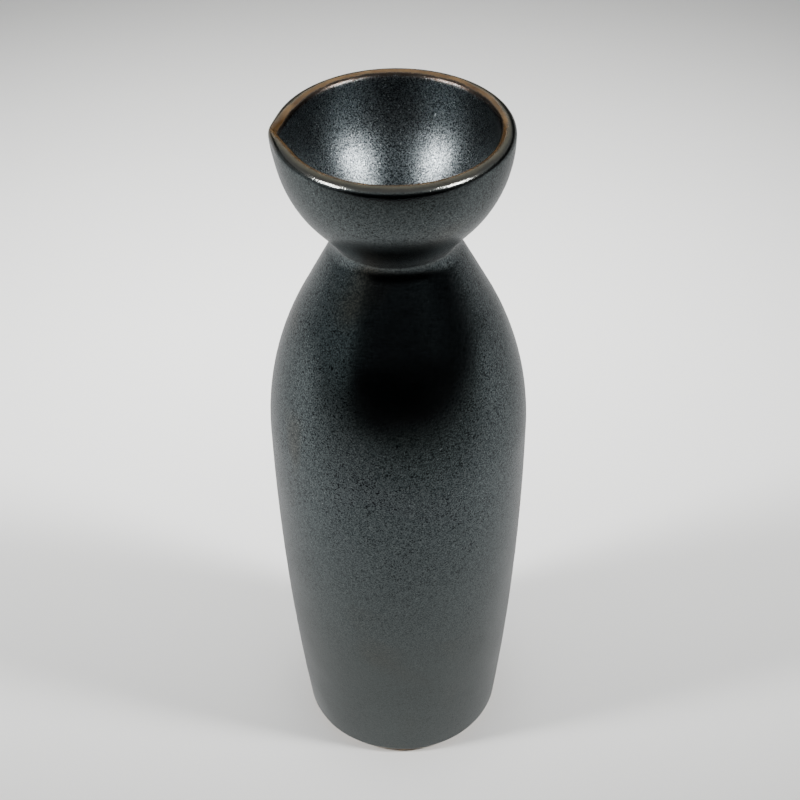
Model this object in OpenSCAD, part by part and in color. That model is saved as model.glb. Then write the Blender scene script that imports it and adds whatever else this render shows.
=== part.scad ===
// Tokkuri, a pouring bottle for sake, thrown in stoneware in two parts.
// A long closed body carries a small cup-shaped mouth, luted on at the neck.
// Three coats of glaze lie over the clay, and the foot ring is left bare.
// Millimetres, +Z up. The origin is on the floor, under the bottle's axis.
// Every radius of the outside is measured over the glaze.

/* [Body] */
// Radius at the widest part of the body
belly_r = 33.1; // [28:0.1:45]
// Height of the widest part above the floor
belly_z = 104.5; // [85:0.5:115]
// Radius that the side would reach at the floor without its rounded edge
foot_r = 27.1; // [22:0.1:27.5]
// Radius of the rounded edge at the floor
foot_round = 3; // [2:0.1:5]
// Height of the crease where the mouth is luted to the body
neck_z = 161.7; // [150:0.1:200]
// Radius at the bottom of that crease
neck_r = 14.4; // [12:0.1:17]
// Length of the straight slope just below the crease
shoulder_run = 20.4; // [10:0.1:26]

/* [Inside] */
// Thickness of the clay at the belly
wall = 3.6; // [2.5:0.1:5]
// Thickness of the clay under the inside of the bottle
floor_t = 5; // [3:0.1:9]
// Radius of the corner between the inside floor and the wall
floor_round = 9; // [5:0.5:14]
// Radius of the passage through the neck
bore_r = 9; // [7:0.1:10]
// Length of the straight passage below the crease
bore_l = 5; // [3:0.5:9]

/* [Foot] */
// Width of the ring that the bottle stands on, at the floor
ring_w = 4.5; // [3:0.1:8]
// Depth of the hollow inside that ring
recess_h = 2; // [1:0.1:3]
// Height of the bare clay left below the outside glaze
bare_h = 1.8; // [1:0.1:4]

/* [Mouth] */
// Height of the mouth from the crease to the top of its lip
mouth_h = 29.6; // [22:0.1:40]
// Radius over the lip
rim_r = 27.8; // [24:0.1:34]
// Thickness of the rounded lip
lip_w = 3.8; // [3.4:0.1:6]
// Length of the straight slope just above the crease, outside
bowl_run = 10.3; // [2:0.1:12]
// Length of the straight slope down to the neck passage, inside
throat_run = 10; // [2:0.5:12]

/* [Pouring lip] */
// How far the lip is pulled outward at the spout
spout_out = 1.1; // [0.8:0.1:3]
// How far the spout's groove cuts outward from the inner edge of the lip
spout_in = 2.9; // [1:0.1:3]
// Depth below the widest line of the lip over which the spout fades out
spout_drop = 10; // [6:0.5:16]

/* [Glaze] */
// Thickness of each coat of glaze
glaze_t = 0.4; // [0.3:0.05:0.5]

/* [Hidden] */
$fn = 96;
// Height of the widest line of the lip, the middle of its round edge
rim_z = neck_z + mouth_h - lip_w / 2;
// Full distance from the outside of the glaze to the inside of the lining
skin = glaze_t + wall + glaze_t;
// Height of the inside floor over its lining
inside_z = recess_h + floor_t + glaze_t;
// Lean of the side at the floor
foot_tilt = arc_turn(belly_r - foot_r, belly_z, 0);
// Steps along each curve of a turned outline
arc_n = 16;
// Directions around the mouth, a multiple of four so that one lies on the spout
turn_n = 60;
// Steps along each wall of the mouth, and over its lip
mouth_n = 7;
lip_n = 8;
// Direction of the spout
spout_at = 180;
clay = [0.55, 0.49, 0.41];
dark_glaze = [0.2, 0.21, 0.21];
mouth_colour = [0.3, 0.29, 0.27];
lining_colour = [0.13, 0.14, 0.15];

// Radius of an arc that leaves its widest point upright, and runs into a straight
// slope of length run that ends in inward and along away from that point.
function arc_radius(inward, along, run) =
    (inward * inward + along * along - run * run) / (2 * inward);

// Angle that the same arc turns through before the straight slope begins.
function arc_turn(inward, along, run) =
    let (r = arc_radius(inward, along, run))
    atan2(along, r - inward) - atan2(run, r);

// Points of such a curve from its widest point to its end, moved inward by inset.
function swept(wide_r, wide_z, end_r, end_z, run, inset, steps) =
    let (
        inward = wide_r - end_r,
        along = abs(end_z - wide_z),
        r = arc_radius(inward, along, run),
        turn = arc_turn(inward, along, run)
    )
    concat(
        [for (k = [0 : steps - 1])
            let (a = turn * k / (steps - 1))
            [wide_r - r + (r - inset) * cos(a), wide_z + sign(end_z - wide_z) * (r - inset) * sin(a)]],
        run > 0 ? [[end_r - inset / cos(turn), end_z]] : []
    );

// The same list from its end to its beginning.
function reversed(list) = [for (k = [len(list) - 1 : -1 : 0]) list[k]];

// Radius at which the flat of the foot turns into its rounded edge.
function flat_r(inset) =
    foot_r - (inset + (foot_round - inset) * (1 - sin(foot_tilt))) / cos(foot_tilt);

// Outside of the body, from the floor to the crease, moved inward by inset.
function body_outline(inset) =
    let (
        edge = foot_round - inset,
        low = reversed([for (p = swept(belly_r, belly_z, foot_r, 0, 0, inset, 2 * arc_n))
            if (p[1] > foot_round) p])
    )
    concat(
        [for (a = [-90 : 10 : -foot_tilt]) [flat_r(inset) + edge * cos(a), edge + edge * sin(a)]],
        low,
        swept(belly_r, belly_z, neck_r, neck_z, shoulder_run, inset, arc_n)
    );

// Inside of the body, from its floor to the crease, moved outward by grow.
function inside_outline(grow) =
    let (
        wide_r = belly_r - skin,
        low_r = foot_r - skin,
        low = reversed([for (p = swept(wide_r, belly_z, low_r, 0, 0, -grow, 2 * arc_n))
            if (p[1] > inside_z + floor_round) p]),
        corner_r = low[0][0] - floor_round - grow
    )
    concat(
        [for (a = [-90 : 9 : 0])
            [corner_r + (floor_round + grow) * cos(a), inside_z + floor_round + (floor_round + grow) * sin(a)]],
        low,
        swept(wide_r, belly_z, bore_r, neck_z - bore_l, shoulder_run, -grow, arc_n),
        [[bore_r + grow, neck_z - bore_l], [bore_r + grow, neck_z]]
    );

// Everything inside an outline, out from the axis.
module filled(outline) {
    polygon(concat(outline, [[0, outline[len(outline) - 1][1]], [0, outline[0][1]]]));
}

// Pull of the spout on a circle of radius r, at an angle off its middle: two straight
// sides that leave the circle without a corner and meet reach beyond it.
function pull(r, reach, off) =
    let (half = acos(r / (r + reach)))
    off < half ? r / cos(half - off) - r : 0;

// Share of the pull left at height z.
function fade(z) =
    let (t = max(0, min(1, 1 - (rim_z - z) / spout_drop)))
    t * t * (3 - 2 * t);

// Section of the mouth from the crease, over the lip, down to the neck passage, as
// [radius, height, share of the inner side], moved into the clay by inset.
function mouth_outline(inset) =
    let (
        lip = lip_w / 2,
        outside = reversed(swept(rim_r, rim_z, neck_r, neck_z, bowl_run, inset, mouth_n)),
        inside = swept(rim_r - lip_w, rim_z, bore_r, neck_z, throat_run, -inset, mouth_n)
    )
    concat(
        [for (p = outside) [p[0], p[1], 0]],
        [for (k = [1 : lip_n - 1])
            let (a = 180 * k / lip_n)
            [rim_r - lip + (lip - inset) * cos(a), rim_z + (lip - inset) * sin(a), (1 - cos(a)) / 2]],
        [for (p = inside) [p[0], p[1], 1]]
    );

// One point of the mouth, with the spout's pull added to its radius.
function mouth_point(p, angle) =
    let (
        off = abs(angle - spout_at),
        outer_pull = pull(rim_r, spout_out, off),
        inner_pull = pull(rim_r - lip_w, spout_in, off),
        r = p[0] + fade(p[1]) * (outer_pull * (1 - p[2]) + inner_pull * p[2])
    )
    [r * cos(angle), r * sin(angle), p[1]];

// Closed ring of the mouth. The section's last points, from turned on, run backwards
// along the next skin, and their squares are split the other way so that skins meet.
module mouth_ring(section, turned) {
    n = len(section);
    points = [for (i = [0 : turn_n - 1], p = section) mouth_point(p, 360 * i / turn_n)];
    faces = [for (i = [0 : turn_n - 1], j = [0 : n - 1], half = [0, 1])
        let (
            next_i = (i + 1) % turn_n,
            next_j = (j + 1) % n,
            a = i * n + j,
            b = next_i * n + j,
            c = next_i * n + next_j,
            d = i * n + next_j
        )
        j < turned
            ? (half == 0 ? [c, b, a] : [d, c, a])
            : (half == 0 ? [d, b, a] : [d, c, b])];
    polyhedron(points, faces);
}

module clay_body() {
    ring_in = flat_r(glaze_t) - ring_w;
    color(clay) rotate_extrude() difference() {
        filled(body_outline(glaze_t));
        filled(inside_outline(glaze_t));
        polygon([[-1, -1], [ring_in, -1], [ring_in, 0], [ring_in - recess_h, recess_h], [-1, recess_h]]);
    }
}

module clay_mouth() {
    section = mouth_outline(glaze_t);
    color(clay) mouth_ring(section, len(section));
}

module body_glaze() {
    color(dark_glaze) rotate_extrude() difference() {
        filled(body_outline(0));
        filled(body_outline(glaze_t));
        translate([0, -1]) square([belly_r + 1, bare_h + 1]);
    }
}

module mouth_glaze() {
    section = mouth_outline(0);
    color(mouth_colour) mouth_ring(concat(section, reversed(mouth_outline(glaze_t))), len(section));
}

module lining_glaze() {
    color(lining_colour) rotate_extrude() difference() {
        filled(inside_outline(glaze_t));
        filled(inside_outline(0));
    }
}

clay_body();
clay_mouth();
body_glaze();
mouth_glaze();
lining_glaze();
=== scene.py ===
from math import atan2, cos, hypot, pi, radians, sin, sqrt

import bpy
from mathutils import Matrix, Vector
from mathutils.kdtree import KDTree


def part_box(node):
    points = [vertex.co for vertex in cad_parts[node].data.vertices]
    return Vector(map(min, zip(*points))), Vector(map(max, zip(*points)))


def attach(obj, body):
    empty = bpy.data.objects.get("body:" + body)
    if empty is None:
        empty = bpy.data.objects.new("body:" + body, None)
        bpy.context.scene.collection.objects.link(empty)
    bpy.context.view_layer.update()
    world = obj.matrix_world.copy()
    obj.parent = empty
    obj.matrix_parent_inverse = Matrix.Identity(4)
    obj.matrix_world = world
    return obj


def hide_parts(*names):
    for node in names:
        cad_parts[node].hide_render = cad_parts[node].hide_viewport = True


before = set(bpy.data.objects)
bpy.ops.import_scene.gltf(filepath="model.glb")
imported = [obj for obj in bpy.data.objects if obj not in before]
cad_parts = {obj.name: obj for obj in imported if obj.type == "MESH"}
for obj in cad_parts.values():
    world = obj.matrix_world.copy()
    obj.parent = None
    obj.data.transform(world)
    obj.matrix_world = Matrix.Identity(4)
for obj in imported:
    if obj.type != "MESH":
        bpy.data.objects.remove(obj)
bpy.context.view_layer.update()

mm = 0.001
sharpAngle = 35             # degrees between faces, past which an edge stays crisp
sameSpot = 1e-6             # corners of an outline closer than this are one
seamGap = 5e-6              # and so are those of a turned wall, at its seam

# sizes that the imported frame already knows
mouthLow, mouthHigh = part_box("mouth_glaze")
bodyLow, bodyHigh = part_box("body_glaze")
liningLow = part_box("lining_glaze")[0]
creaseZ = bodyHigh.z
bellyR = bodyHigh.x
lipTop = mouthHigh.z
rimR = mouthHigh.x
spoutOut = -mouthLow.x - rimR
print("frame: bottle", round(lipTop / mm, 1), "mm high,",
      round(2 * bellyR / mm, 1), "mm wide")


# ---- working on one piece at a time

def deselectAll():
    if bpy.context.object and bpy.context.object.mode == "EDIT":
        bpy.ops.object.mode_set(mode="OBJECT")
    bpy.ops.object.select_all(action="DESELECT")


def takeUp(piece):
    deselectAll()
    piece.select_set(True)
    bpy.context.view_layer.objects.active = piece


# draws the outline as a closed chain of edges in the XZ plane, then turns it about the axis
def throwOnWheel(name, outline, turns):
    deselectAll()
    firstR, firstZ = outline[0][:2]
    bpy.ops.mesh.primitive_plane_add(size=mm, location=(firstR, 0, firstZ))
    piece = bpy.context.object
    piece.name = piece.data.name = name
    bpy.ops.object.transform_apply(location=True, rotation=True, scale=True)
    bpy.ops.object.mode_set(mode="EDIT")
    bpy.ops.mesh.select_mode(type="VERT")
    bpy.ops.mesh.select_all(action="SELECT")
    bpy.ops.mesh.merge(type="CENTER")
    r, z = firstR, firstZ
    for point in list(outline[1:]) + [outline[0]]:
        bpy.ops.mesh.extrude_region_move(
            TRANSFORM_OT_translate={"value": (point[0] - r, 0, point[1] - z)})
        r, z = point[0], point[1]
    bpy.ops.mesh.select_all(action="SELECT")
    bpy.ops.mesh.remove_doubles(threshold=sameSpot)
    bpy.ops.mesh.select_all(action="SELECT")
    bpy.ops.mesh.spin(steps=turns, angle=2 * pi, center=(0, 0, 0), axis=(0, 0, 1))
    bpy.ops.mesh.select_all(action="SELECT")
    bpy.ops.mesh.remove_doubles(threshold=seamGap)
    bpy.ops.mesh.delete_loose()
    bpy.ops.mesh.select_all(action="SELECT")
    bpy.ops.mesh.normals_make_consistent(inside=False)
    bpy.ops.object.mode_set(mode="OBJECT")
    return piece


# moves vertices along one axis by an amount worked out for each, through weights
def pushAlong(piece, groupName, axis, amounts):
    largest = max(abs(a) for a in amounts) or 1e-9      # never zero, as it divides
    sign = 1 if sum(amounts) >= 0 else -1
    group = piece.vertex_groups.new(name=groupName)
    for index, amount in enumerate(amounts):
        group.add([index], abs(amount) / largest, "REPLACE")
    takeUp(piece)
    push = piece.modifiers.new(groupName, "DISPLACE")
    push.direction = axis
    push.mid_level = 0
    push.strength = sign * largest
    push.vertex_group = groupName
    bpy.ops.object.modifier_apply(modifier=push.name)
    piece.vertex_groups.remove(piece.vertex_groups[groupName])


# numbers that a finish reads, one for each vertex
def writeOn(piece, name, values):
    layer = piece.data.attributes.new(name, "FLOAT", "POINT")
    layer.data.foreach_set("value", values)


# for each vertex, the outline's point that it came from
def outlineIndex(piece, outline):
    tree = KDTree(len(outline))
    for index, point in enumerate(outline):
        tree.insert((point[0], 0, point[1]), index)
    tree.balance()
    return [tree.find((hypot(v.co.x, v.co.y), 0, v.co.z))[1] for v in piece.data.vertices]


def finishPiece(piece):
    takeUp(piece)
    bpy.ops.object.shade_smooth_by_angle(angle=radians(sharpAngle))
    deselectAll()
    low = [min(v.co[k] for v in piece.data.vertices) / mm for k in range(3)]
    high = [max(v.co[k] for v in piece.data.vertices) / mm for k in range(3)]
    print(piece.name, len(piece.data.vertices), "vertices,",
          [round(value, 2) for value in low], "to", [round(value, 2) for value in high])


# ---- turned lines, as in the part: arcs that start upright and run into a straight slope

# radius of such an arc, and the angle that it turns before the slope begins
def arcOf(wide, end, run):
    inward, along = wide[0] - end[0], abs(end[1] - wide[1])
    arcR = (inward ** 2 + along ** 2 - run ** 2) / (2 * inward)
    return arcR, atan2(along, arcR - inward) - atan2(run, arcR)


# points from the widest one to the end, moved inward by inset
def sweptLine(wide, end, run, inset, steps, slopeSteps=6):
    arcR, turn = arcOf(wide, end, run)
    way = 1 if end[1] > wide[1] else -1
    points = []
    for k in range(steps + 1):
        a = turn * k / steps
        r = wide[0] - arcR + (arcR - inset) * cos(a)
        points.append((r, wide[1] + way * (arcR - inset) * sin(a)))
    if run > 0:
        last, stop = points[-1], (end[0] - inset / cos(turn), end[1])
        for k in range(1, slopeSteps + 1):
            t = k / slopeSteps
            points.append((last[0] + (stop[0] - last[0]) * t, last[1] + (stop[1] - last[1]) * t))
    return points


body = {
    "bellyZ": 104.5 * mm,       # height of the widest part
    "footR": 27.1 * mm,         # radius of the side where it would reach the floor
    "footRound": 3 * mm,        # rounded edge at the floor
    "neckR": 14.4 * mm,         # bottom of the crease
    "shoulderRun": 20.4 * mm,   # straight slope below the crease
    "wall": 3.6 * mm,
    "glaze": 0.4 * mm,          # each coat
    "ringWidth": 4.5 * mm,      # foot ring
    "recess": 2 * mm,           # hollow inside the ring
    "pool": 0.8 * mm,           # extra glaze gathered in the crease, which rounds it
    "poolBelow": 3.2 * mm,      # how far it reaches down the shoulder
    "poolAbove": 2.0 * mm,      # and up the mouth
    "turns": 144,
    "edgeSteps": 12,            # steps round the edge at the floor,
    "sideSteps": 72,            # up the side to the widest part,
    "shoulderSteps": 36,        # over the shoulder
    "slopeSteps": 40,           # and along the slope below the crease
    "join": 0.2 * mm,           # least gap between the edge and the side's first point
}
footTilt = arcOf((bellyR, body["bellyZ"]), (body["footR"], 0), 0)[1]
skin = body["wall"] + 2 * body["glaze"]


# radius where the flat of the foot turns into its rounded edge
def flatR(inset):
    edge = body["footRound"] - inset
    return body["footR"] - (inset + edge * (1 - sin(footTilt))) / cos(footTilt)


# extra glaze this far away from the crease
def poolAt(away, reach):
    return body["pool"] * max(0, 1 - away / reach) ** 2


# outside of the body from the floor to the crease
def bodyLine(inset):
    edge = body["footRound"] - inset
    corner = []
    for k in range(body["edgeSteps"] + 1):
        a = -pi / 2 + (pi / 2 - footTilt) * k / body["edgeSteps"]
        corner.append((flatR(inset) + edge * cos(a), edge + edge * sin(a)))
    belly = (bellyR, body["bellyZ"])
    low = sweptLine(belly, (body["footR"], 0), 0, inset, body["sideSteps"])
    low = [p for p in reversed(low) if p[1] > body["footRound"] + body["join"]]
    high = sweptLine(belly, (body["neckR"], creaseZ), body["shoulderRun"], inset,
                     body["shoulderSteps"], body["slopeSteps"])
    if inset == 0:
        high = [(r + poolAt(creaseZ - z, body["poolBelow"]), z) for r, z in high]
    return corner + low + high[1:]


inside = {
    "boreR": 9 * mm,            # passage through the neck
    "boreLength": 5 * mm,
    "floorRound": 9 * mm,       # corner between the inside floor and the wall
    "floorSteps": 5,
    "cornerSteps": 12,
    "sideSteps": 40,
    "shoulderSteps": 24,
    "slopeSteps": 6,
    "boreSteps": 3,
    "turns": 96,
}
insideZ = liningLow.z + body["glaze"]


# inside of the body from the middle of its floor to the crease
def insideLine(grow):
    wideR, lowR = bellyR - skin, body["footR"] - skin
    corner = inside["floorRound"]
    low = sweptLine((wideR, body["bellyZ"]), (lowR, 0), 0, -grow, inside["sideSteps"])
    low = [p for p in reversed(low) if p[1] > insideZ + corner]
    cornerR = low[0][0] - corner - grow
    steps = inside["floorSteps"]
    bottom = [(cornerR * k / steps, insideZ - grow) for k in range(steps)]
    for k in range(inside["cornerSteps"] + 1):
        a = -pi / 2 + pi / 2 * k / inside["cornerSteps"]
        z = insideZ + corner + (corner + grow) * sin(a)
        bottom.append((cornerR + (corner + grow) * cos(a), z))
    boreR, boreZ = inside["boreR"], creaseZ - inside["boreLength"]
    high = sweptLine((wideR, body["bellyZ"]), (boreR, boreZ), body["shoulderRun"], -grow,
                     inside["shoulderSteps"], inside["slopeSteps"])
    high[-1] = (boreR + grow, boreZ)
    steps = inside["boreSteps"]
    bore = [(boreR + grow, boreZ + (creaseZ - boreZ) * k / steps) for k in range(1, steps + 1)]
    return bottom + low[1:] + high[1:] + bore


# ---- clay body, with its turned foot

foot = {
    "grooveStep": 2.3 * mm,     # from one trimming groove to the next
    "grooveDepth": 0.12 * mm,
    "fade": 2 * mm,             # the grooves fade out this close to the ring
    "edgeRound": 0.45 * mm,     # softened inner edge of the ring
    "navel": 0.5 * mm,          # small rise left in the middle by the trimming tool
    "navelR": 3 * mm,
    "steps": 64,                # across the hollow, fine enough for the grooves
    "ringSteps": 5,             # along its slope, over the edge and over the flat
}
tangent = 0.414                 # of half the slope's 45 degrees, where the round edge begins


# underside from the middle, over the hollow and the ring
def footLine():
    depth, outR = body["recess"], flatR(body["glaze"])
    recessR = outR - body["ringWidth"] - depth
    line = []
    for k in range(foot["steps"] + 1):
        r = recessR * k / foot["steps"]
        swirl = foot["grooveDepth"] * (0.5 - 0.5 * cos(2 * pi * r / foot["grooveStep"]))
        middle = foot["navel"] * max(0, 1 - r / foot["navelR"]) ** 2
        line.append((r, depth + swirl * min(1, (recessR - r) / foot["fade"]) - middle))
    ringIn, soft, steps = recessR + depth, foot["edgeRound"], foot["ringSteps"]
    for k in range(1, steps):
        t = k / steps
        line.append((recessR + (depth - soft) * t, depth - (depth - soft) * t))
    for k in range(steps + 1):
        a = -3 * pi / 4 + (pi / 4) * k / steps
        line.append((ringIn + soft * tangent + soft * cos(a), soft + soft * sin(a)))
    for k in range(1, steps + 1):
        line.append((ringIn + soft + (outR - ringIn - soft) * k / (steps + 1), 0))
    return line


clayOutline = (footLine() + bodyLine(body["glaze"])
               + list(reversed(insideLine(body["glaze"]))))
clayBody = throwOnWheel("clayBody", clayOutline, body["turns"])
finishPiece(clayBody)

# ---- outside glaze of the body, with the rolled edge where it stops above the foot

bead = {
    "roll": 0.1 * mm,           # how much thicker the glaze is at its lower edge
    "rollHeight": 1.6 * mm,
    "offset": 0.1 * mm,         # how far the rounded edge sits in
    "wave": 0.35 * mm,          # how far that edge wanders up
    "waveHeight": 4 * mm,       # and the height over which this fades
    "waves": ((3, 0.22, 0.7), (7, 0.17, 2.1), (13, 0.11, 4)),   # times round, size, start
    "middle": 0.5,              # level that the waves swing about
}


def bodyGlazeLine():
    bareZ = bodyLow.z
    half = body["glaze"] / 2
    outer = [p for p in bodyLine(0) if p[1] > bareZ + 2 * half]
    inner = [p for p in bodyLine(body["glaze"]) if p[1] > bareZ + 2 * half]
    outer = [(r + bead["roll"] * max(0, 1 - (z - bareZ) / bead["rollHeight"]) ** 2, z)
             for r, z in outer]
    middle = ((outer[0][0] + inner[0][0]) / 2 - bead["offset"], bareZ + half)
    edge = [(middle[0] + half * cos(a), middle[1] + half * sin(a))
            for a in [radians(d) for d in range(-180, 1, 30)]]
    return list(reversed(inner)) + edge + outer


bodyGlaze = throwOnWheel("bodyGlaze", bodyGlazeLine(), body["turns"])
lift = []
for v in bodyGlaze.data.vertices:
    angle = atan2(v.co.y, v.co.x)
    wander = bead["middle"]
    for timesRound, size, start in bead["waves"]:
        wander += size * sin(timesRound * angle + start)
    fade = max(0, 1 - (v.co.z - bodyLow.z) / bead["waveHeight"]) ** 2
    lift.append(bead["wave"] * wander * fade)
pushAlong(bodyGlaze, "wander", "Z", lift)
finishPiece(bodyGlaze)

# ---- lining, the glaze poured through the inside

liningOutline = insideLine(body["glaze"]) + list(reversed(insideLine(0)))
liningGlaze = throwOnWheel("liningGlaze", liningOutline, inside["turns"])
finishPiece(liningGlaze)

# ---- mouth, with its spout

mouth = {
    "lip": 3.8 * mm,            # thickness of the rounded lip
    "bowlRun": 10.3 * mm,       # straight slope above the crease, outside
    "throatRun": 10 * mm,       # straight slope down to the passage
    "spoutIn": 2.9 * mm,        # how far the groove cuts out from the inner edge
    "spoutDrop": 10 * mm,       # depth over which the spout fades
    "noseRound": radians(3.5),  # blunting of the spout outside, as an angle round the lip
    "grooveRound": radians(2.5),    # and inside
    "spoutSag": 1.1 * mm,       # the inner edge of the lip rolls down into the groove
    "sagWidth": radians(24),
    "sagDepth": 8 * mm,
    "breakBack": 0.5 * mm,      # the glaze breaks further out at the back of the lip
    "breakSpout": 0.9 * mm,     # and over the whole lip at the spout, around this line
    "breakWidth": radians(24),
    "breakReach": 5 * mm,       # but not further than this from the crown
    "turns": 216,
    "wallSteps": 26,
    "slopeSteps": 24,           # along the slope above the crease, outside
    "lipSteps": 20,             # over the lip
}
rimZ = lipTop - mouth["lip"] / 2


# section of the mouth as (radius, height, share of the inner side, distance past the crown)
def mouthLine(inset):
    lipR, steps = mouth["lip"] / 2, mouth["lipSteps"]
    outer = sweptLine((rimR, rimZ), (body["neckR"], creaseZ), mouth["bowlRun"], inset,
                      mouth["wallSteps"], mouth["slopeSteps"])
    outer.reverse()
    if inset == 0:
        outer = [(r + poolAt(z - creaseZ, body["poolAbove"]), z) for r, z in outer]
    inner = sweptLine((rimR - mouth["lip"], rimZ), (inside["boreR"], creaseZ),
                      mouth["throatRun"], -inset, mouth["wallSteps"])
    line = [(r, z, 0) for r, z in outer]
    for k in range(1, steps):
        a = pi * k / steps
        r = rimR - lipR + (lipR - inset) * cos(a)
        line.append((r, rimZ + (lipR - inset) * sin(a), (1 - cos(a)) / 2))
    line += [(r, z, 1) for r, z in inner]
    crown = len(outer) - 1 + steps // 2
    past = [0] * len(line)
    for k in range(crown + 1, len(line)):
        past[k] = past[k - 1] + hypot(line[k][0] - line[k - 1][0], line[k][1] - line[k - 1][1])
    for k in range(crown - 1, -1, -1):
        past[k] = past[k + 1] - hypot(line[k][0] - line[k + 1][0], line[k][1] - line[k + 1][1])
    return [(r, z, share, past[k]) for k, (r, z, share) in enumerate(line)]


# pull along X that turns a circle's end into two straight sides meeting in a point
def pullOf(circleR, reach, off):
    side = sqrt((circleR + reach) ** 2 - circleR ** 2)
    if off >= atan2(side, circleR):
        return 0
    return max(0, circleR + reach - sin(off) * side - circleR * cos(off))


# pulls the spout, rolls its inner edge down, and notes where the glaze breaks on the lip
def pullSpout(piece, outline):
    pulls, sags, breaks = [], [], []
    for v, index in zip(piece.data.vertices, outlineIndex(piece, outline)):
        share, past = outline[index][2:]
        off = abs(pi - abs(atan2(v.co.y, v.co.x)))      # angle away from the spout
        t = max(0, min(1, 1 - (rimZ - v.co.z) / mouth["spoutDrop"]))
        outPull = pullOf(rimR, spoutOut, hypot(off, mouth["noseRound"]))
        inPull = pullOf(rimR - mouth["lip"], mouth["spoutIn"], hypot(off, mouth["grooveRound"]))
        pulls.append(-t * t * (3 - 2 * t) * (outPull * (1 - share) + inPull * share))
        near = max(0, 1 - off / mouth["sagWidth"]) ** 2
        near *= max(0, min(1, 1 - (rimZ - v.co.z) / mouth["sagDepth"]))
        sags.append(-mouth["spoutSag"] * near * share)
        near = max(0, 1 - off / mouth["breakWidth"]) * max(0, 1 - abs(past) / mouth["breakReach"])
        past += mouth["breakBack"] * max(0, v.co.y / rimR) ** 2
        breaks.append(past + (mouth["breakSpout"] - past) * near)
    writeOn(piece, "pastCrown", breaks)
    pushAlong(piece, "spout", "X", pulls)
    pushAlong(piece, "sag", "Z", sags)


clayMouthLine = mouthLine(body["glaze"])
clayMouth = throwOnWheel("clayMouth", clayMouthLine, mouth["turns"])
pullSpout(clayMouth, clayMouthLine)
finishPiece(clayMouth)

mouthGlazeLine = mouthLine(0) + list(reversed(mouthLine(body["glaze"])))
mouthGlaze = throwOnWheel("mouthGlaze", mouthGlazeLine, mouth["turns"])
pullSpout(mouthGlaze, mouthGlazeLine)
finishPiece(mouthGlaze)
print("pieces made")

# ---- finishes

# returns the finish, its nodes, its shader and the piece's own coordinates
def newFinish(name):
    finish = bpy.data.materials.new(name)
    finish.use_nodes = True
    tree = finish.node_tree
    tree.nodes.clear()
    output = tree.nodes.new("ShaderNodeOutputMaterial")
    shader = tree.nodes.new("ShaderNodeBsdfPrincipled")
    output.location, shader.location = (400, 0), (100, 0)
    tree.links.new(shader.outputs["BSDF"], output.inputs["Surface"])
    coords = tree.nodes.new("ShaderNodeTexCoord")
    coords.location = (-1500, 0)
    return finish, tree, shader, coords.outputs["Object"]


def noiseOf(tree, where, size, detail=3, rough=0.55, twist=0, shift=0):
    node = tree.nodes.new("ShaderNodeTexNoise")
    node.inputs["Scale"].default_value = 1 / size
    node.inputs["Detail"].default_value = detail
    node.inputs["Roughness"].default_value = rough
    node.inputs["Distortion"].default_value = twist
    if shift:
        moved = tree.nodes.new("ShaderNodeMapping")
        moved.inputs["Location"].default_value = (shift, shift * 0.7, shift * 1.3)
        tree.links.new(where, moved.inputs["Vector"])
        where = moved.outputs["Vector"]
    tree.links.new(where, node.inputs["Vector"])
    return node.outputs["Fac"]


# distance to the nearest of many scattered points
def cellsOf(tree, where, size):
    node = tree.nodes.new("ShaderNodeTexVoronoi")
    node.inputs["Scale"].default_value = 1 / size
    tree.links.new(where, node.inputs["Vector"])
    return node.outputs["Distance"]


def rampOf(tree, factor, stops):
    node = tree.nodes.new("ShaderNodeValToRGB")
    ramp = node.color_ramp
    while len(ramp.elements) < len(stops):
        ramp.elements.new(0.5)
    for element, (place, value) in zip(ramp.elements, stops):
        element.position = place
        element.color = (value, value, value, 1) if isinstance(value, (int, float)) else (*value, 1)
    tree.links.new(factor, node.inputs["Fac"])
    return node.outputs["Color"]


def sumOf(tree, operation, first, second):
    node = tree.nodes.new("ShaderNodeMath")
    node.operation = operation
    for socket, value in zip(node.inputs, (first, second)):
        if isinstance(value, (int, float)):
            socket.default_value = value
        else:
            tree.links.new(value, socket)
    return node.outputs["Value"]


# numbers 0, 6, 7 and 2 are the Mix node's factor, two colours and mixed colour
def mixOf(tree, factor, first, second, blend="MIX"):
    node = tree.nodes.new("ShaderNodeMix")
    node.data_type = "RGBA"
    node.blend_type = blend
    for place, value in ((0, factor), (6, first), (7, second)):
        socket = node.inputs[place]
        if isinstance(value, (int, float)):
            socket.default_value = value
        elif isinstance(value, tuple):
            socket.default_value = (*value, 1)
        else:
            tree.links.new(value, socket)
    return node.outputs[2]


def bumpOf(tree, height, strength, distance, under=None):
    node = tree.nodes.new("ShaderNodeBump")
    node.inputs["Strength"].default_value = strength
    node.inputs["Distance"].default_value = distance
    tree.links.new(height, node.inputs["Height"])
    if under:
        tree.links.new(under, node.inputs["Normal"])
    return node.outputs["Normal"]


def rangeOf(tree, value, fromLow, fromHigh, toLow=0, toHigh=1):
    node = tree.nodes.new("ShaderNodeMapRange")
    node.inputs["From Min"].default_value = fromLow
    node.inputs["From Max"].default_value = fromHigh
    node.inputs["To Min"].default_value = toLow
    node.inputs["To Max"].default_value = toHigh
    tree.links.new(value, node.inputs["Value"])
    return node.outputs["Result"]


# how much a noise lies off its middle, made this much larger
def unevenBy(tree, noise, amount):
    return sumOf(tree, "MULTIPLY", sumOf(tree, "SUBTRACT", noise, 0.5), amount)


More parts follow.
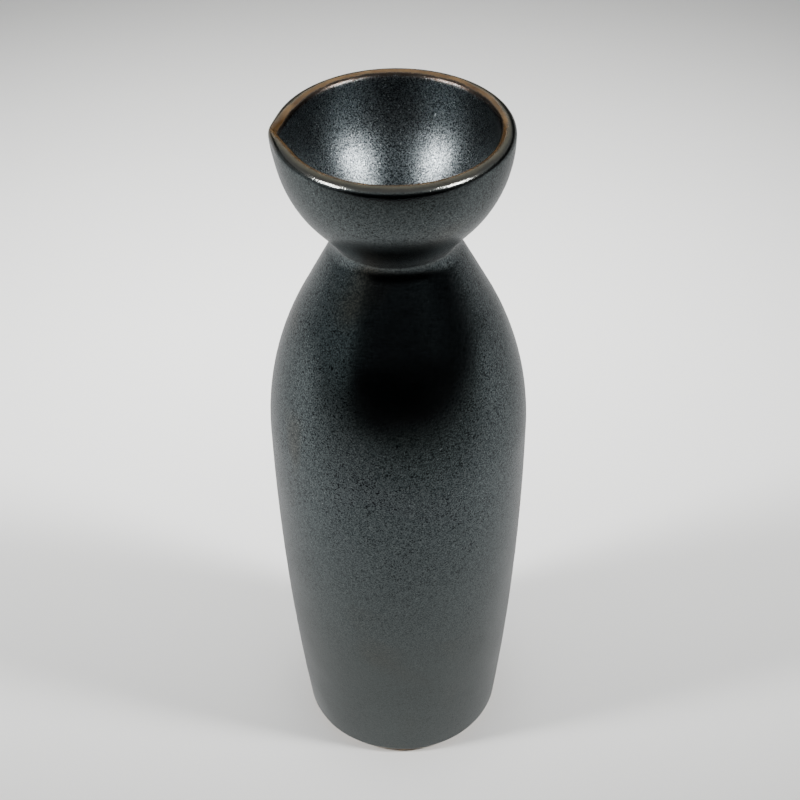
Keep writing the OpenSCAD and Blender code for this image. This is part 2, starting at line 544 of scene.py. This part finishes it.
glaze = {
    "lustre": (0.059, 0.074, 0.079),    # how much the iron-dark glass mirrors
    "crystal": (0.173, 0.200, 0.201),
    "spark": (0.50, 0.55, 0.56),
    "glassTo": 0.40,                    # share of the grain that is plain glass,
    "crystalFrom": 0.60,                # where crystals are full,
    "crystalTo": 0.71,
    "sparkFrom": 0.77,                  # and where they sparkle
    "even": (0.104, 0.115, 0.110),      # towards the foot, where the grain melts together
    "meltFrom": 96 * mm,                # heights where that starts and is done
    "meltTo": 38 * mm,
    "melted": 0.80,
    "brown": (0.96, 0.76, 0.62),        # faint rusty patches
    "patchSize": 34 * mm,
    "patchStrength": 0.8,
    "pit": (0.008, 0.010, 0.013),
    "grainSize": 0.36 * mm,
    "pitSpacing": 0.50 * mm,
    "pitSpread": 1.1,                   # how unevenly the pits are strewn
    "cloudSize": 18 * mm,
    "rough": (0.20, 0.27),              # at the shoulder
    "footRough": 0.14,                  # how much duller it gets down to the foot
    "footHeight": 20 * mm,
    "grainDepth": 0.020 * mm,
    "pitDepth": 0.012 * mm,
    "swellSize": 9 * mm,                # slow swelling of the surface
    "swellDepth": 0.12 * mm,
    "swellStrength": 0.5,
}


# iron-black glass with a dull metal lustre, a fine grain of crystals and tiny dark pits
def blackCoat(tree, where, values):
    clouds = noiseOf(tree, where, values["cloudSize"], 4, 0.55, 0.3)
    grain = noiseOf(tree, where, values["grainSize"], 2, 0.65)
    colour = rampOf(tree, grain, [
        (values["glassTo"], values["lustre"]), (values["crystalFrom"], values["crystal"]),
        (values["crystalTo"], values["crystal"]), (values["sparkFrom"], values["spark"])])
    patches = noiseOf(tree, where, values["patchSize"], 2, 0.5, 0.4, 0.41)
    patches = rampOf(tree, patches, [(0.57, 0.0), (0.72, values["patchStrength"])])
    colour = mixOf(tree, patches, colour, values["brown"], "MULTIPLY")
    dots = cellsOf(tree, where, values["pitSpacing"])
    strewn = noiseOf(tree, where, values["pitSpacing"] * 2.3, 2, 0.6, 0, 0.31)
    dots = sumOf(tree, "ADD", dots, unevenBy(tree, strewn, values["pitSpread"]))
    pits = rampOf(tree, dots, [(0.20, 1.0), (0.40, 0.0)])
    pits = sumOf(tree, "MULTIPLY", pits, rampOf(tree, clouds, [(0.32, 0.45), (0.6, 1.0)]))
    colour = mixOf(tree, pits, colour, values["pit"])
    split = tree.nodes.new("ShaderNodeSeparateXYZ")
    tree.links.new(where, split.inputs["Vector"])
    height = split.outputs["Z"]
    melted = rangeOf(tree, height, values["meltFrom"], values["meltTo"], 0, values["melted"])
    colour = mixOf(tree, melted, colour, values["even"])
    dull = rangeOf(tree, height, body["bellyZ"], values["footHeight"], 0, values["footRough"])
    low, high = values["rough"]
    roughness = sumOf(tree, "ADD", rangeOf(tree, clouds, 0.3, 0.7, low, high), dull)
    return colour, roughness, grain, pits


# surface of a coat: slow swelling, raised grain, sunk pits
def glazeSkin(tree, where, grain, pits, values):
    swell = noiseOf(tree, where, values["swellSize"], 2, 0.5, 0, 0.17)
    normal = bumpOf(tree, swell, values["swellStrength"], values["swellDepth"])
    normal = bumpOf(tree, grain, 1.0, values["grainDepth"], normal)
    return bumpOf(tree, pits, 1.0, -values["pitDepth"], normal)


def glazeFinish(name, values):
    finish, tree, shader, where = newFinish(name)
    colour, roughness, grain, pits = blackCoat(tree, where, values)
    tree.links.new(colour, shader.inputs["Base Color"])
    tree.links.new(roughness, shader.inputs["Roughness"])
    shader.inputs["Metallic"].default_value = 1.0
    tree.links.new(glazeSkin(tree, where, grain, pits, values), shader.inputs["Normal"])
    return finish


blackGlaze = glazeFinish("blackGlaze", glaze)

lip = {
    "rust": (0.070, 0.036, 0.013),
    "gold": (0.150, 0.088, 0.036),
    "burnt": (0.026, 0.012, 0.005),
    # thin olive glaze on the lip, in a lit copy for the crown (painted highlight) and a shaded copy
    # for its outer side (painted shade)
    "litOlive": (0.205, 0.185, 0.140),
    "shadedOlive": (0.110, 0.103, 0.090),
    "rustDull": 0.75,           # share of the metal lustre lost in the rust
    "rough": 0.17,
    "innerRough": 0.32,         # the grain inside the mouth catches light more widely
    "innerGrain": 2.6,          # and stands out this much more
    # inside the mouth the plain glass is painted much darker than outside: painted shade of the
    # hollow, under a real grain
    "innerShadedGlass": (0.018, 0.021, 0.024),
    "innerCrystal": (0.148, 0.166, 0.172),
    "innerSpark": (0.80, 0.84, 0.85),
    "outerEven": 0.35,          # outside, the grain is half melted
    "glassIndex": 1.7,
    "spread": 5 * mm,           # the bands below lie this far out to this far in, from 0 to 1
    "wobble": 0.10,             # how far the bands wander
    "wobbleSize": 6 * mm,
    "ragged": 0.08,             # and fray with the grain
    "thinBand": [(0.26, 0.0), (0.38, 1.0), (0.60, 1.0), (0.70, 0.0)],
    "rustBand": [(0.48, 0.0), (0.56, 1.0), (0.62, 1.0), (0.69, 0.0)],
    "burntBand": [(0.62, 0.0), (0.67, 0.9), (0.73, 0.75), (0.80, 0.0)],
    "smoothBand": [(0.10, 0.0), (0.24, 1.0), (0.62, 1.0), (0.74, 0.0)],
    "innerBand": [(0.66, 0.0), (0.80, 1.0)],
}


# the mouth's coat: black glaze that breaks to rust where it thins over the lip
def mouthFinish(name):
    finish, tree, shader, where = newFinish(name)
    colour, roughness, grain, pits = blackCoat(tree, where, glaze)
    layer = tree.nodes.new("ShaderNodeAttribute")
    layer.attribute_name = "pastCrown"
    past = rangeOf(tree, layer.outputs["Fac"], -lip["spread"], lip["spread"])
    wobble = noiseOf(tree, where, lip["wobbleSize"], 3, 0.6, 0, 0.23)
    wander = unevenBy(tree, wobble, lip["wobble"])
    fray = unevenBy(tree, grain, lip["ragged"])
    past = sumOf(tree, "ADD", past, sumOf(tree, "ADD", wander, fray))
    thin = rampOf(tree, past, lip["thinBand"])
    within = rampOf(tree, past, lip["innerBand"])
    outside = rampOf(tree, past, [(0.2, lip["outerEven"]), (0.4, 0.0)])
    colour = mixOf(tree, outside, colour, glaze["even"])
    # real grain inside the mouth, on a glass colour darkened with painted shade
    innerColour = rampOf(tree, grain, [
        (0.40, lip["innerShadedGlass"]), (0.58, lip["innerCrystal"]),
        (0.68, lip["innerCrystal"]), (0.74, lip["innerSpark"])])
    colour = mixOf(tree, within, colour, innerColour)
    # thin olive glaze over the lip, painted lighter at the crown as a painted highlight and darker
    # on the outer side as painted shade
    lipColour = rampOf(tree, past, [
        (0.30, lip["shadedOlive"]), (0.40, lip["shadedOlive"]), (0.46, lip["litOlive"]), (0.54, lip["litOlive"])])
    colour = mixOf(tree, thin, colour, lipColour)
    rust = rampOf(tree, past, lip["rustBand"])
    golden = rampOf(tree, wobble, [(0.35, 0.0), (0.65, 1.0)])
    colour = mixOf(tree, rust, colour, mixOf(tree, golden, lip["rust"], lip["gold"]))
    burnt = rampOf(tree, past, lip["burntBand"])
    colour = mixOf(tree, burnt, colour, lip["burnt"])
    tree.links.new(colour, shader.inputs["Base Color"])
    metal = sumOf(tree, "SUBTRACT", 1.0, sumOf(tree, "MULTIPLY", rust, lip["rustDull"]))
    tree.links.new(metal, shader.inputs["Metallic"])
    smooth = rampOf(tree, past, lip["smoothBand"])
    roughness = mixOf(tree, within, roughness, (lip["innerRough"],) * 3)
    lipRough = mixOf(tree, smooth, roughness, (lip["rough"],) * 3)
    tree.links.new(lipRough, shader.inputs["Roughness"])
    shader.inputs["IOR"].default_value = lip["glassIndex"]
    grain = sumOf(tree, "MULTIPLY", grain, rangeOf(tree, within, 0, 1, 1, lip["innerGrain"]))
    tree.links.new(glazeSkin(tree, where, grain, pits, glaze), shader.inputs["Normal"])
    return finish


mouthCoat = mouthFinish("mouthGlazeFinish")

clay = {
    "dry": (0.46, 0.36, 0.25),
    "toasted": (0.30, 0.19, 0.11),
    "toastSize": 8 * mm,
    "grit": (0.12, 0.09, 0.07),
    "gritSpacing": 1.3 * mm,
    "rough": 0.88,
    "toothSize": 0.35 * mm,     # fine sandy surface
    "toothDepth": 0.12 * mm,
    "toothStrength": 0.5,
}


def clayFinish(name):
    finish, tree, shader, where = newFinish(name)
    toast = noiseOf(tree, where, clay["toastSize"], 4, 0.6)
    toast = rampOf(tree, toast, [(0.35, 0.0), (0.7, 1.0)])
    colour = mixOf(tree, toast, clay["dry"], clay["toasted"])
    grit = cellsOf(tree, where, clay["gritSpacing"])
    colour = mixOf(tree, rampOf(tree, grit, [(0.10, 0.8), (0.2, 0.0)]), colour, clay["grit"])
    tree.links.new(colour, shader.inputs["Base Color"])
    shader.inputs["Roughness"].default_value = clay["rough"]
    tooth = noiseOf(tree, where, clay["toothSize"], 3, 0.65)
    normal = bumpOf(tree, tooth, clay["toothStrength"], clay["toothDepth"])
    tree.links.new(normal, shader.inputs["Normal"])
    return finish


bareClay = clayFinish("bareClay")


def dress(piece, finish, node):
    piece.data.materials.clear()
    piece.data.materials.append(finish)
    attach(piece, "root")
    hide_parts(node)


dress(clayBody, bareClay, "clay_body")
dress(clayMouth, bareClay, "clay_mouth")
dress(bodyGlaze, blackGlaze, "body_glaze")
dress(liningGlaze, blackGlaze, "lining_glaze")
dress(mouthGlaze, mouthCoat, "mouth_glaze")
print("finishes on")

# ---- camera, floor and lights

view = {
    "back": 316.05 * mm,        # from the bottle's axis
    "up": 374.96 * mm,
    "tilt": 39.93,              # down from level
    "yaw": -0.084,
    "roll": -0.845,
    "lens": 72,
    "filmWidth": 36,
    "nearest": 0.01,
}
camera = bpy.data.objects.new("camera", bpy.data.cameras.new("camera"))
bpy.context.collection.objects.link(camera)
camera.data.lens = view["lens"]
camera.data.sensor_width = view["filmWidth"]
camera.data.clip_start = view["nearest"]
turn = (Matrix.Rotation(radians(view["yaw"]), 4, "Z")
        @ Matrix.Rotation(radians(90 - view["tilt"]), 4, "X")
        @ Matrix.Rotation(radians(view["roll"]), 4, "Z"))
camera.matrix_world = Matrix.Translation((0, -view["back"], view["up"])) @ turn
bpy.context.scene.camera = camera

stage = {
    "floor": (0.78, 0.78, 0.765),
    "floorSize": 8,
    "floorDim": 0.97,           # slow, faint unevenness of its tone
    "floorPatches": 300 * mm,
    "floorRough": 0.8,
    "floorShine": 0.1,
    "world": (0.018, 0.020, 0.022),
    "poolPower": 140,           # the pool of light around the bottle
    "poolAim": (-0.03, 0.17, 0.0),
    "poolFrom": (-0.03, 0.17, 1.70),
    "poolSpread": 19,
    "poolSoft": 0.35,
    "sidePower": 200,           # the two side lights, for soft shadows
    "sideFrom": {"sideRight": (0.72, -0.28, 0.63), "sideLeft": (-0.72, -0.28, 0.63)},
    "sideSpread": 23,
    "sideReach": 1.25,
    "sideSoft": 0.20,
    "fillPower": 14,            # the large light overhead
    "fillSize": 2.6,
    "fillHeight": 2.2,
    "softboxPower": 17,         # the two softboxes that the mouth's glaze mirrors
    "softboxFrom": {"softboxRight": (0.723, -0.404, 0.561),
                    "softboxLeft": (-0.759, -0.368, 0.537)},
    "softboxSize": (0.24, 0.22),
    "softboxReach": 0.95,
}


# glowing finish for the cards, that gives off one colour or is wired up by its user
def emitterFinish(name, colour=None):
    finish = bpy.data.materials.new(name)
    finish.use_nodes = True
    tree = finish.node_tree
    tree.nodes.clear()
    output = tree.nodes.new("ShaderNodeOutputMaterial")
    glow = tree.nodes.new("ShaderNodeEmission")
    tree.links.new(glow.outputs["Emission"], output.inputs["Surface"])
    if colour:
        glow.inputs["Color"].default_value = (*colour, 1)
    return finish, tree, glow


# a card that only the glaze sees, so that it has a studio to mirror
def placeCard(name, place, size, turnedBy, finish):
    deselectAll()
    bpy.ops.mesh.primitive_plane_add(size=1, location=place, rotation=turnedBy)
    panel = bpy.context.object
    panel.name = name
    panel.scale = (size[0], size[1], 1)
    bpy.ops.object.transform_apply(location=True, rotation=True, scale=True)
    panel.data.materials.append(finish)
    panel.visible_camera = panel.visible_diffuse = panel.visible_shadow = False
    panel.visible_transmission = panel.visible_volume_scatter = False


deselectAll()
bpy.ops.mesh.primitive_plane_add(size=stage["floorSize"], location=(0, 0, 0))
floor = bpy.context.object
floor.name = "floor"
floorFinish, floorTree, floorShader, floorWhere = newFinish("paleFloor")
floorTone = noiseOf(floorTree, floorWhere, stage["floorPatches"], 2)
dimFloor = tuple(c * stage["floorDim"] for c in stage["floor"])
floorColour = rampOf(floorTree, floorTone, [(0.3, dimFloor), (0.7, stage["floor"])])
floorTree.links.new(floorColour, floorShader.inputs["Base Color"])
floorShader.inputs["Roughness"].default_value = stage["floorRough"]
floorShader.inputs["Specular IOR Level"].default_value = stage["floorShine"]
floor.data.materials.append(floorFinish)
floor.visible_glossy = False

# the same floor as the glaze mirrors it: even behind, fading towards the front
mirrored = {
    "below": 0.5 * mm,          # the real floor
    "reach": 1.0,               # front and back ends of the fading
    "fading": [(0.20, 0.02), (0.29, 0.16), (0.37, 0.38), (0.405, 0.47), (0.43, 0.54),
               (0.45, 0.66), (0.48, 0.86), (0.50, 0.86), (0.55, 0.76), (0.70, 0.60)],
    "side": 0.25,               # this far to the left and right
    "sideLight": (1.04, 0.80),  # it is this bright
}
mirrorFinish, mirrorTree, mirrorGlow = emitterFinish("mirroredFloor")
mirrorCoords = mirrorTree.nodes.new("ShaderNodeTexCoord")
mirrorSplit = mirrorTree.nodes.new("ShaderNodeSeparateXYZ")
mirrorTree.links.new(mirrorCoords.outputs["Object"], mirrorSplit.inputs["Vector"])
forward = rangeOf(mirrorTree, mirrorSplit.outputs["Y"], -mirrored["reach"], mirrored["reach"])
fading = rampOf(mirrorTree, forward, mirrored["fading"])
sideways = rangeOf(mirrorTree, mirrorSplit.outputs["X"],
                   -mirrored["side"], mirrored["side"], *mirrored["sideLight"])
mirrorTree.links.new(fading, mirrorGlow.inputs["Color"])
mirrorTree.links.new(sideways, mirrorGlow.inputs["Strength"])
placeCard("mirroredFloor", (0, 0, -mirrored["below"]), (stage["floorSize"],) * 2,
          (0, 0, 0), mirrorFinish)

# the other cards: middle, size, turn and glow
cards = {
    "ceiling": ((0, 0.2, 1.7), (6, 6), (pi, 0, 0), (0.50, 0.54, 0.56)),
    # close in front, keeps the shoulder and the outside of the lip black
    "darkCard": ((0.05, -0.171, 0.149), (0.36, 0.124), (pi / 2, 0, 0), (0, 0, 0)),
    "leftWall": ((-1.6, -0.1, 0.40), (0.8, 2.6), (0, pi / 2, 0), (0.27, 0.29, 0.30)),
}
for cardName, (place, size, turnedBy, glow) in cards.items():
    placeCard(cardName, place, size, turnedBy, emitterFinish(cardName + "Glow", glow)[0])

world = bpy.data.worlds.new("studio")
bpy.context.scene.world = world
world.use_nodes = True
world.node_tree.nodes["Background"].inputs["Color"].default_value = (*stage["world"], 1)


# a lamp that only the glaze mirrors, or that lights everything and isn't mirrored
def placeLamp(name, kind, place, aim, power, inGlaze):
    data = bpy.data.lights.new(name, kind)
    data.energy = power
    lamp = bpy.data.objects.new(name, data)
    bpy.context.collection.objects.link(lamp)
    lamp.location = place
    lamp.rotation_euler = (Vector(aim) - Vector(place)).to_track_quat("-Z", "Y").to_euler()
    lamp.visible_camera = False
    lamp.visible_glossy = inGlaze
    lamp.visible_diffuse = not inGlaze
    return lamp


onlyMouth = bpy.data.collections.new("onlyMouth")
onlyMouth.objects.link(mouthGlaze)
onlyMouth.objects.link(liningGlaze)
for lampName, direction in stage["softboxFrom"].items():
    place = Vector((0, 0, rimZ)) + Vector(direction) * stage["softboxReach"]
    softbox = placeLamp(lampName, "AREA", place, (0, 0, rimZ), stage["softboxPower"], True)
    softbox.data.shape = "RECTANGLE"
    softbox.data.size, softbox.data.size_y = stage["softboxSize"]
    softbox.light_linking.receiver_collection = onlyMouth

pool = placeLamp("pool", "SPOT", stage["poolFrom"], stage["poolAim"], stage["poolPower"], False)
pool.data.spot_size = radians(stage["poolSpread"])
pool.data.spot_blend = 1
pool.data.shadow_soft_size = stage["poolSoft"]
for lampName, direction in stage["sideFrom"].items():
    place = Vector(stage["poolAim"]) + Vector(direction) * stage["sideReach"]
    side = placeLamp(lampName, "SPOT", place, stage["poolAim"], stage["sidePower"], False)
    side.data.spot_size = radians(stage["sideSpread"])
    side.data.spot_blend = 1
    side.data.shadow_soft_size = stage["sideSoft"]
overhead = placeLamp("overhead", "AREA", (0, 0, stage["fillHeight"]), (0, 0, 0),
                     stage["fillPower"], False)
overhead.data.size = stage["fillSize"]
print("stage set")
